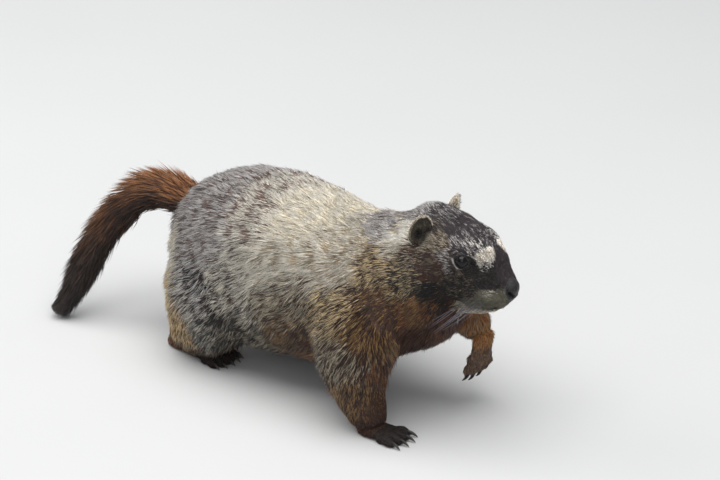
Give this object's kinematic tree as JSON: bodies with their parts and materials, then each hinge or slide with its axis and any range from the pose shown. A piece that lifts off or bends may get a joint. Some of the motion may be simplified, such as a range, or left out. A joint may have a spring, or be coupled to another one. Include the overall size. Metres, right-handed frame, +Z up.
{
  "type": "yellow-bellied marmot",
  "caption": "Stocky ground-living rodent as a still life-size model, walking with one forepaw lifted, its back arched and its bushy tail hanging in a bow.",
  "frame": {"origin": "on the floor, under the middle of the animal's bounding box", "axes": "+X the way the animal walks, +Y towards its left, +Z up"},
  "size_m": [0.465, 0.1934, 0.1939],
  "materials": {
    "grizzled_coat": "grizzled brown fur with pale tips",
    "rust_coat": "rusty brown fur",
    "face_coat": "short dark fur with white patches before the eyes",
    "tail_coat": "long dark reddish-brown fur",
    "ear_coat": "very short fur with a pale rim",
    "paw_hide": "dark skin with sparse short hair",
    "nose_leather": "moist dark grey skin",
    "eye_gloss": "wet black gloss",
    "claw_horn": "dark horn"
  },
  "bodies": {
    "root": {"trunk": "grizzled_coat", "neck": "grizzled_coat", "head": "face_coat", "jaw": "face_coat", "nose": "nose_leather", "ear_left": "ear_coat", "ear_right": "ear_coat", "eye_left": "eye_gloss", "eye_right": "eye_gloss", "foreleg_right": "rust_coat", "foreleg_left": "rust_coat", "hindleg_right": "rust_coat", "hindleg_left": "rust_coat", "forepaw_right": "paw_hide", "forepaw_left": "paw_hide", "hindpaw_right": "paw_hide", "hindpaw_left": "paw_hide", "tail_base": "tail_coat", "tail_middle": "tail_coat", "tail_tip": "tail_coat"}
  },
  "joints": []
}
